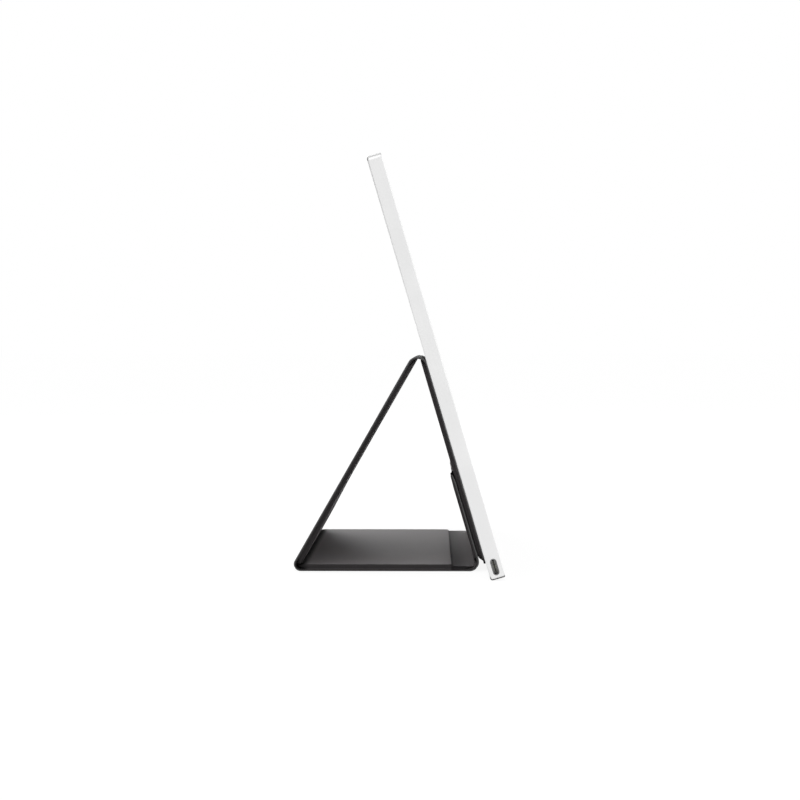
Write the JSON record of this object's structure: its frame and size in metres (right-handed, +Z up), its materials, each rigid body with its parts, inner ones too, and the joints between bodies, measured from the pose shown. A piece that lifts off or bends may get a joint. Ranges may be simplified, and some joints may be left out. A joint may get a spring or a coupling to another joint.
{
  "type": "portable monitor with folding cover",
  "caption": "Slim portable monitor leaning on a magnetic folio cover that is folded into a triangular stand behind it.",
  "frame": {"origin": "middle of the base panel's underside, on the table", "axes": "+X from the rear of the stand to the screen, +Y along the screen's width, +Z up"},
  "size_m": [0.1197, 0.3605, 0.2353],
  "materials": {
    "housing_aluminium": "fine blasted and anodised, silver",
    "button_aluminium": "anodised, silver",
    "bezel_plastic": "fine matte, black",
    "tape": "matte black adhesive tape",
    "screen_glass": "dark screen with a matte polariser",
    "optical_film": "translucent white",
    "light_guide_acrylic": "clear acrylic with printed dots",
    "frame_plastic": "white moulded",
    "led": "white strip with yellow LEDs",
    "plate_steel": "rolled sheet",
    "circuit_board": "green solder mask",
    "chip_plastic": "black moulded",
    "flex_film": "amber film",
    "foam": "soft black foam",
    "screw_steel": "zinc plated",
    "socket_steel": "nickel plated",
    "magnet": "nickel plated",
    "cover_skin": "fine grained synthetic leather, charcoal",
    "cover_board": "grey fibreboard",
    "cover_lining": "napped microfibre, charcoal"
  },
  "bodies": {
    "monitor": {"rear_housing": "housing_aluminium", "front_bezel": "bezel_plastic", "bezel_tape": "tape", "lcd_cell": "screen_glass", "prism_films": "optical_film", "diffuser_film": "optical_film", "light_guide_plate": "light_guide_acrylic", "reflector_sheet": "optical_film", "led_strip": "led", "panel_frame": "frame_plastic", "panel_back_plate": "plate_steel", "timing_board": "circuit_board", "cell_flex_tails": "flex_film", "foam_strips": "foam", "main_board": "circuit_board", "main_board_chips": "chip_plastic", "side_board": "circuit_board", "side_ribbon": "flex_film", "display_ribbon": "flex_film", "light_ribbon": "flex_film", "board_screws": "screw_steel", "usb_c_shell_left": "socket_steel", "usb_c_tongue_left": "chip_plastic", "usb_c_shell_right": "socket_steel", "usb_c_tongue_right": "chip_plastic", "button_switches": "screw_steel", "housing_magnets": "magnet"},
    "power_button": {"power_button": "button_aluminium"},
    "menu_button": {"menu_button": "button_aluminium"},
    "back_panel": {"back_panel_skin": "cover_skin", "back_panel_board": "cover_board", "back_panel_lining": "cover_lining", "back_panel_magnets": "magnet", "back_panel_keepers": "plate_steel", "apex_fold_skin": "cover_skin", "apex_fold_lining": "cover_lining"},
    "leg_panel": {"leg_panel_skin": "cover_skin", "leg_panel_board": "cover_board", "leg_panel_lining": "cover_lining", "rear_fold_skin": "cover_skin", "rear_fold_lining": "cover_lining"},
    "base_panel": {"base_panel_skin": "cover_skin", "base_panel_board": "cover_board", "base_panel_lining": "cover_lining", "front_fold_skin": "cover_skin", "front_fold_lining": "cover_lining"},
    "front_flap": {"flap_skin": "cover_skin", "flap_board": "cover_board", "flap_lining": "cover_lining", "flap_magnets": "magnet"}
  },
  "joints": [
    {"name": "cover_release", "type": "slide", "parent": "monitor", "child": "back_panel", "axis": [-1, 0, 0], "range_m": [0, 0.08]},
    {"name": "apex_fold", "type": "hinge", "parent": "back_panel", "child": "leg_panel", "pos_m": [0.01932, 0, 0.12398], "axis": [0, 1, 0], "range_deg": [0, 133.83], "deforming": ["apex_fold_skin", "apex_fold_lining"]},
    {"name": "rear_fold", "type": "hinge", "parent": "leg_panel", "child": "base_panel", "pos_m": [-0.05203, 0, 0.00197], "axis": [0, 1, 0], "range_deg": [0, 120], "deforming": ["rear_fold_skin", "rear_fold_lining"]},
    {"name": "front_fold", "type": "hinge", "parent": "base_panel", "child": "front_flap", "pos_m": [0.05294, 0, 0.0021], "axis": [0, 1, 0], "range_deg": [0, 106.4], "deforming": ["front_fold_skin", "front_fold_lining"]},
    {"name": "power_press", "type": "slide", "parent": "monitor", "child": "power_button", "axis": [0, -1, 0], "range_m": [0, 0.00035], "stiffness_N_per_m": 4000, "springref_m": -0.0001},
    {"name": "menu_press", "type": "slide", "parent": "monitor", "child": "menu_button", "axis": [0, -1, 0], "range_m": [0, 0.00035], "stiffness_N_per_m": 4000, "springref_m": -0.0001}
  ],
  "couplings": [
    {"joint": "rear_fold", "follows": "apex_fold", "ratio": 0.89486},
    {"joint": "front_fold", "follows": "apex_fold", "ratio": 0.795}
  ]
}
